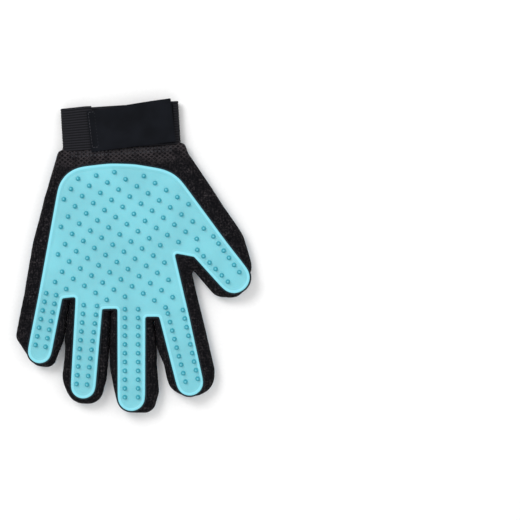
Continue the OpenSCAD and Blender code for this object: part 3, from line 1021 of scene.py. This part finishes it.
def cut_size(faces):
    """(width, length) of the rectangle that has the area of these faces and as much edge."""
    area = sum(f.calc_area() for f in faces)
    inside = set(faces)
    edge = sum(e.calc_length() for e in {e for f in faces for e in f.edges}
               if sum(f in inside for f in e.link_faces) == 1)
    length = edge / 4 + math.sqrt(max(edge**2 / 16 - area, 0))
    return area / length, length


# ---- plush

BACKING = 0.9 * MM      # thickness of the plush's knitted backing at its edge


def tuft_template():
    """A tuft of pile: a thin cone that leans over, with its root at the origin."""
    bm = bmesh.new()
    bmesh.ops.create_cone(bm, cap_ends=False, segments=4, radius1=0.5 * MM, radius2=0.12 * MM,
                          depth=1.0 * MM)
    bmesh.ops.translate(bm, verts=bm.verts, vec=(0, 0, 0.5 * MM))
    bmesh.ops.subdivide_edges(
        bm, edges=[e for e in bm.edges if abs(e.verts[0].co.z - e.verts[1].co.z) > 0.5 * MM],
        cuts=1)
    bmesh.ops.holes_fill(bm, edges=[e for e in bm.edges if e.is_boundary], sides=0)
    face_out(bm)
    return as_mesh(bm, "tuft")


class GLOVE_OT_plush(bpy.types.Operator):
    """Lays the plush back, with its pile brushed towards the fingertips"""

    bl_idname = "glove.plush"
    bl_label = "Plush back"

    def execute(self, context):
        s = sizes()
        material = brushed_plush()
        bm = fabric_outline()
        lay_at(bm, PLUSH_TOP)
        split_long_edges(bm, FACET)
        close_gaps(bm)
        roof = bm.faces[:][0]
        step_in(bm, roof, [(UNDER_EDGE, 0)])
        outer = [f for f in bm.faces if f is not roof]
        bmesh.ops.delete(bm, geom=outer, context="FACES")
        under = bm.faces[:][0]
        lowered = bmesh.ops.extrude_face_region(bm, geom=[under])
        floor = next(g for g in lowered["geom"] if isinstance(g, bmesh.types.BMFace))
        for v in floor.verts:
            v.co.z -= BACKING
        bm.normal_update()
        if floor.normal.z > 0:
            floor.normal_flip()
        step_in(bm, floor, rounded_steps(UNDER_EDGE, PLUSH_TOP - BACKING - 1.1 * MM, 4))
        face_out(bm)
        grid_cuts(bm, lambda m: [f for f in m.faces if len(f.verts) > 4 and f.normal.z < -0.9],
                  3 * MM)
        cut(bm, bm.faces[:], WRIST - ARM * 0.5 * MM, ARM, clear=True)
        close_ends(bm)
        mark_bodies(bm)
        bm.normal_update()
        for v in bm.verts:
            if v.normal.z < 0.2:
                v.co += v.normal * 0.3 * MM * noise.noise(v.co / (2.5 * MM))
        template = tuft_template()
        random = np.random.default_rng(7)
        for body in BODIES:
            part = piece_of(bm, body)
            cut_to = cut_size([f for f in part.faces if f.normal.z > 0.9])
            roots = tuft_roots(part, s.tuft_pitch, random)
            close_ends(part)
            face_out(part)
            word = part_name(body)
            backing = finished(f"{word}_plush_backing", part, material, body,
                               [f"{word}_plush"])
            mesh = scattered(template, [tuft_place(at, out, s.pile) for at, out in roots])
            tip = mesh.attributes.new("tip", "FLOAT", "POINT")
            heights = [0.6 * v.co.z / MM for v in template.vertices]
            tip.data.foreach_set("value", np.tile(heights, len(roots)))
            pile = placed(f"{word}_plush_pile", mesh, material, body)
        bm.free()
        return {"FINISHED"}


def tuft_roots(bm, pitch, random):
    """Places for tufts on the faces that look down, about a pitch apart."""
    roots = []
    for f in bm.faces:
        if f.normal.z > -0.5 or len(f.verts) > 12:
            continue
        corners = [v.co for v in f.verts]
        for _ in range(int(f.calc_area() / pitch**2 + random.random())):
            shares = random.dirichlet([1] * len(corners))
            at = sum((c * float(w) for c, w in zip(corners, shares)), Vector())
            roots.append((at, f.normal.copy()))
    return roots


def tuft_place(at, out, pile):
    """A tuft leans towards the fingertips and a little to one side, and stays off the floor."""
    sway = noise.noise_vector(at / (6 * MM)) * 0.7 + noise.noise_vector(at / (1.1 * MM)) * 0.5
    lean = (out + Vector((0, -0.5, 0)) + Vector((sway.x, sway.y, 0.3 * sway.z))).normalized()
    room = (at.z - 0.1 * MM) / max(-lean.z, 0.05)
    reach = max(min(pile * (0.75 + 0.4 * abs(noise.noise(at * 3100))), room), 0.5 * MM)
    turn = UP.rotation_difference(lean).to_matrix().to_4x4()
    return Matrix.Translation(at) @ turn @ Matrix.Diagonal((1, 1, reach / MM, 1))


# ---- cuff

STEPS_PER_RIB = 4


class GLOVE_OT_cuff(bpy.types.Operator):
    """Weaves the ribbed elastic of the cuff"""

    bl_idname = "glove.cuff"
    bl_label = "Cuff"

    def execute(self, context):
        s = sizes()
        bm = merged_copy("cuff_elastic")
        away = [f for f in bm.faces
                if any(up_arm(v.co) > 0.01 * MM for v in f.verts)]
        bmesh.ops.delete(bm, geom=away, context="FACES")
        bmesh.ops.dissolve_faces(bm, faces=bm.faces[:], use_verts=False)
        split_long_edges(bm, 2 * MM)
        ribs = round(CUFF_LENGTH / s.rib_pitch)
        steps = ribs * STEPS_PER_RIB
        section = bm.faces[:][0]
        for step in range(steps):
            raised = bmesh.ops.extrude_face_region(bm, geom=[section])
            fresh = next(g for g in raised["geom"] if isinstance(g, bmesh.types.BMFace))
            bmesh.ops.translate(bm, verts=fresh.verts, vec=ARM * CUFF_LENGTH / steps)
            if section.is_valid and step > 0:
                bm.faces.remove(section)
            section = fresh
        face_out(bm)
        bm.normal_update()
        # how far up a rib a point is, for the painted light and shade on the ribs
        rib = bm.verts.layers.float.new("rib")
        moves = {}
        for v in bm.verts:
            along = up_arm(v.co)
            wave = 0.5 - 0.5 * math.cos(math.tau * along / CUFF_LENGTH * ribs)
            v[rib] = wave
            out = v.normal - ARM * v.normal.dot(ARM)
            x, z = v.co.x / MM, v.co.z / MM
            soft = noise.noise(Vector((x / 16, along / (30 * MM), z / 12)))
            uneven = noise.noise(Vector((x / 24, 2.0, z / 20)))
            moves[v] = out * (s.rib_depth * (wave - 1) + 0.35 * MM * soft)
            moves[v] += ARM * (1.8 + 1.3 * uneven) * MM * along / CUFF_LENGTH
        for v, move in moves.items():
            v.co += move
        finished("cuff_elastic_band", bm, ribbed_elastic(), PALM,
                 ["cuff_elastic"])
        return {"FINISHED"}


# ---- tab

STRAP = JOINTS["strap_peel"]
FOLD = Vector(STRAP["pos_m"])
TAB_UP = -Vector(STRAP["axis"])
TAB_ALONG = Vector((TAB_UP.y, -TAB_UP.x, 0))


def in_tab(place):
    """A place as (along the tab, up the arm, height)."""
    rel = place - FOLD
    return Vector((rel.dot(TAB_ALONG), rel.dot(TAB_UP), place.z))


def tab_reach(node_name):
    """The lowest and highest places of a CAD node, as in_tab gives them."""
    points = [in_tab(p) for p in points_of(node_name)]
    low = Vector([min(p[i] for p in points) for i in range(3)])
    high = Vector([max(p[i] for p in points) for i in range(3)])
    return low, high


def tape_strip(from_, to, half_width, thickness, pitch, height_at, edge):
    """A strip of tape with rounded edges that follows height_at(along, across)."""
    bm = bmesh.new()
    bmesh.ops.create_cube(bm, size=1)
    for v in bm.verts:
        v.co = Vector((from_ + (v.co.x + 0.5) * (to - from_), v.co.y * 2 * half_width,
                       v.co.z * thickness))
    bevel(bm, bm.edges[:], edge, 3)
    for axis, low, high in ((0, from_, to), (1, -half_width, half_width)):
        normal = Vector((1, 0, 0) if axis == 0 else (0, 1, 0))
        count = int((high - low) / pitch)
        for i in range(1, count):
            cut(bm, bm.faces[:], normal * (low + (high - low) * i / count), normal)
    for v in bm.verts:
        along, across = v.co.x, v.co.y
        flat_place = FOLD + TAB_ALONG * along + TAB_UP * across
        v.co = Vector((flat_place.x, flat_place.y, height_at(along, across) + v.co.z))
    face_out(bm)
    return bm


class GLOVE_OT_tab(bpy.types.Operator):
    """Cuts the tape of the hook tab into its sewn end, which rides the palm, and its free flap"""

    bl_idname = "glove.tab"
    bl_label = "Hook tab"

    def execute(self, context):
        s = sizes()
        tape = smooth_tape("black_woven_tape", colours().tape, 0.45, 0.12, 0.62)
        base_low, _ = tab_reach("tab_sewn_end")
        flap_low, flap_high = tab_reach("hook_tab")
        mid = (flap_low.y + flap_high.y) / 2
        half = (flap_high.y - flap_low.y) / 2

        def height_at(along, across):
            rise = smooth_step(base_low.x + 3 * MM, 9 * MM, along)
            low = base_low.z + s.tape / 2
            high = flap_high.z - s.tape / 2
            soft = 0.25 * MM * noise.noise(Vector((along / (14 * MM), across / (12 * MM), 4.0)))
            return low + (high - low) * rise + soft * smooth_step(0, 12 * MM, along)

        free_end = flap_high.x
        # the tape is a little wider than its plain CAD plate
        lower_spread, upper_spread = 0.14, 0.12
        whole = tape_strip(base_low.x, free_end, half, s.tape, 2.4 * MM, height_at, 0.35 * MM)
        for v in whole.verts:
            along, across, _ = in_tab(v.co)
            spread = lower_spread if across < 0 else upper_spread * smooth_step(
                base_low.x, free_end, along)
            v.co += TAB_UP * (mid + across * spread)
        for name, keep, body, nodes in (
            ("tab_sewn_end_tape", -1, PALM, ["tab_sewn_end"]),
            ("tab_flap_tape", 1, "strap", ["hook_tab"]),
        ):
            part = whole.copy()
            cut(part, part.faces[:], FOLD, -TAB_ALONG * keep, clear=True)
            close_ends(part)
            face_out(part)
            obj = finished(name, part, tape, None, nodes)
            if body == PALM:
                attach(obj, body)
            else:
                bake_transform(obj)
        whole.free()
        return {"FINISHED"}


class GLOVE_OT_hook_and_loop(bpy.types.Operator):
    """Adds the hook field under the tab and the loop patch on the cuff"""

    bl_idname = "glove.hook_and_loop"
    bl_label = "Hooks and loops"

    def execute(self, context):
        hooks = smooth_tape("black_nylon_hooks", colours().thread, 0.9, 0.4, 0.5)
        loops = smooth_tape("black_brushed_loops", colours().mesh, 0.6, 0.3, 0.9)
        for name, node_name, material, slot, body in (
            ("tab_hook_field", "tab_hooks", hooks, "hook_tape", "strap"),
            ("cuff_loop_patch", "loop_patch", loops, "loop_tape", PALM),
        ):
            bm = merged_copy(node_name)
            bmesh.ops.dissolve_limit(bm, angle_limit=math.radians(1), verts=bm.verts,
                                     edges=bm.edges)
            bevel(bm, [e for e in bm.edges if e.calc_face_angle(0) > 0.5], 0.15 * MM, 2)
            finished(name, bm, material, body, [node_name])
        return {"FINISHED"}


class GLOVE_OT_stitching(bpy.types.Operator):
    """Sews the tab down and overlocks the seam between the palm and the cuff"""

    bl_idname = "glove.stitching"
    bl_label = "Stitching"

    def execute(self, context):
        thread = smooth_tape("grey_black_thread", colours().thread, 0.4, 0.15, 0.8)
        stitch = stitch_template(0.28 * MM)
        low, high = tab_reach("tab_stitching")
        lines = [
            ((low.x, low.y), (low.x, high.y)), ((low.x, high.y), (high.x, high.y)),
            ((high.x, high.y), (high.x, low.y)), ((high.x, low.y), (low.x, low.y)),
        ]
        places = []
        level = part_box("tab_sewn_end")[0][2] + sizes().tape
        for (x0, y0), (x1, y1) in lines:
            start = FOLD + TAB_ALONG * x0 + TAB_UP * y0
            end = FOLD + TAB_ALONG * x1 + TAB_UP * y1
            places += stitches_between(start, end, level, 2.4 * MM)
        mesh = scattered(stitch, places)
        placed("tab_stitch_rows", mesh, thread, PALM, ["tab_stitching"])
        self.overlock(thread, stitch)
        return {"FINISHED"}

    def overlock(self, thread, stitch):
        """Crossing threads between the cuff and the rubber, in a row of diamonds."""
        points = points_of("cuff_trim")
        across = [(p - WRIST).dot(ROUND_WRIST) for p in points]
        left, right = min(across), max(across)
        low = min(up_arm(p) for p in points)
        diamond = 2.8 * MM
        count = int((right - left) / diamond)
        rows = [low, low / 2, -0.6 * MM]
        places = []
        for i in range(count):
            x0 = left + (right - left) * i / count
            x1 = left + (right - left) * (i + 1) / count
            for y0, y1 in zip(rows, rows[1:]):
                for a, b in (((x0, y0), (x1, y1)), ((x1, y0), (x0, y1))):
                    start = WRIST + ROUND_WRIST * a[0] + ARM * a[1]
                    end = WRIST + ROUND_WRIST * b[0] + ARM * b[1]
                    level = sunk_to_cuff(MESH_TOP, (y0 + y1) / 2)
                    places += stitches_between(start, end, level, diamond * 2)
        mesh = scattered(stitch, places)
        placed("cuff_overlock", mesh, thread, PALM, ["cuff_trim"])


def sunk_to_cuff(level, past_wrist):
    """The height of the air mesh near the cuff, where it sinks to the elastic."""
    at_cuff = smooth_step(-9 * MM, 0.5 * MM, past_wrist)
    return level + (HAND_TOP - 0.2 * MM - level) * at_cuff


def stitch_template(radius):
    """One stitch: a rounded bar of thread, 1 unit long along X."""
    bm = bmesh.new()
    bmesh.ops.create_uvsphere(bm, u_segments=8, v_segments=6, radius=1)
    for v in bm.verts:
        v.co = Vector((v.co.x * 0.5, v.co.y * radius, v.co.z * radius))
    return as_mesh(bm, "stitch")


def stitches_between(start, end, level, pitch):
    """Places of the stitches of a straight seam, a little apart."""
    run = Vector((end.x - start.x, end.y - start.y, 0))
    count = max(1, round(run.length / pitch))
    turn = Matrix.Rotation(math.atan2(run.y, run.x), 4, "Z")
    scale = Matrix.Diagonal((run.length / count * 0.86, 1, 1, 1))
    return [
        Matrix.Translation((*(start + run * (i + 0.5) / count).xy, level)) @ turn @ scale
        for i in range(count)
    ]


# ---- stage


class GLOVE_OT_stage(bpy.types.Operator):
    """Lays the floor and sets the lights and the camera, which looks straight down"""

    bl_idname = "glove.stage"
    bl_label = "Stage"

    def execute(self, context):
        scene = context.scene
        bm = bmesh.new()
        bmesh.ops.create_grid(bm, x_segments=2, y_segments=2, size=3)
        finished("floor", bm, paper_floor())
        aim = Vector((95 * MM, -2.85 * MM, 0))
        camera = bpy.data.objects.new("camera", bpy.data.cameras.new("camera"))
        camera.data.lens = 100
        camera.data.sensor_width = 36
        view_width = 390 * MM
        camera.location = aim + UP * (view_width / 0.36 + 15 * MM)
        camera.data.clip_start = 0.01
        scene.collection.objects.link(camera)
        scene.camera = camera
        # the place, size in metres and power in watts of each soft light
        for name, place, size, power in (
            ("key", (-0.6, 0.7, 1.2), 0.7, 11),
            ("fill", (0.9, 0.2, 1.2), 1.2, 4),
            ("back", (0.0, -0.9, 1.1), 1.2, 3),
        ):
            light = bpy.data.objects.new(name, bpy.data.lights.new(name, "AREA"))
            light.data.size = size
            light.data.energy = power
            light.location = place
            light.rotation_euler = (Vector(place) - aim).to_track_quat("Z", "Y").to_euler()
            scene.collection.objects.link(light)
        world = bpy.data.worlds.new("studio")
        world.use_nodes = True
        background = world.node_tree.nodes["Background"]
        background.inputs["Color"].default_value = (1, 1, 1, 1)
        background.inputs["Strength"].default_value = 0.62
        scene.world = world
        scene.view_settings.view_transform = "Standard"
        return {"FINISHED"}


# ---- add-on


class GLOVE_PT_panel(bpy.types.Panel):
    """Lists the glove's pieces in the 3D view's sidebar"""

    bl_idname = "GLOVE_PT_panel"
    bl_label = "Grooming Glove"
    bl_space_type = "VIEW_3D"
    bl_region_type = "UI"
    bl_category = "Glove"

    def draw(self, context):
        for group in (context.scene.glove_sizes, context.scene.glove_colours):
            for name in group.bl_rna.properties.keys():
                if name not in ("rna_type", "name"):
                    self.layout.prop(group, name)
        for operator in OPERATORS:
            self.layout.operator(operator.bl_idname)


OPERATORS = (
    GLOVE_OT_stage,
    GLOVE_OT_rubber,
    GLOVE_OT_air_mesh,
    GLOVE_OT_plush,
    GLOVE_OT_cuff,
    GLOVE_OT_tab,
    GLOVE_OT_hook_and_loop,
    GLOVE_OT_stitching,
)
CLASSES = (GloveSizes, GloveColours, *OPERATORS, GLOVE_PT_panel)


def register():
    for cls in CLASSES:
        bpy.utils.register_class(cls)
    bpy.types.Scene.glove_sizes = PointerProperty(type=GloveSizes)
    bpy.types.Scene.glove_colours = PointerProperty(type=GloveColours)


def unregister():
    del bpy.types.Scene.glove_colours
    del bpy.types.Scene.glove_sizes
    for cls in reversed(CLASSES):
        bpy.utils.unregister_class(cls)


def main():
    register()
    for operator in OPERATORS:
        group, name = operator.bl_idname.split(".")
        getattr(getattr(bpy.ops, group), name)()


if __name__ == "__main__":
    main()
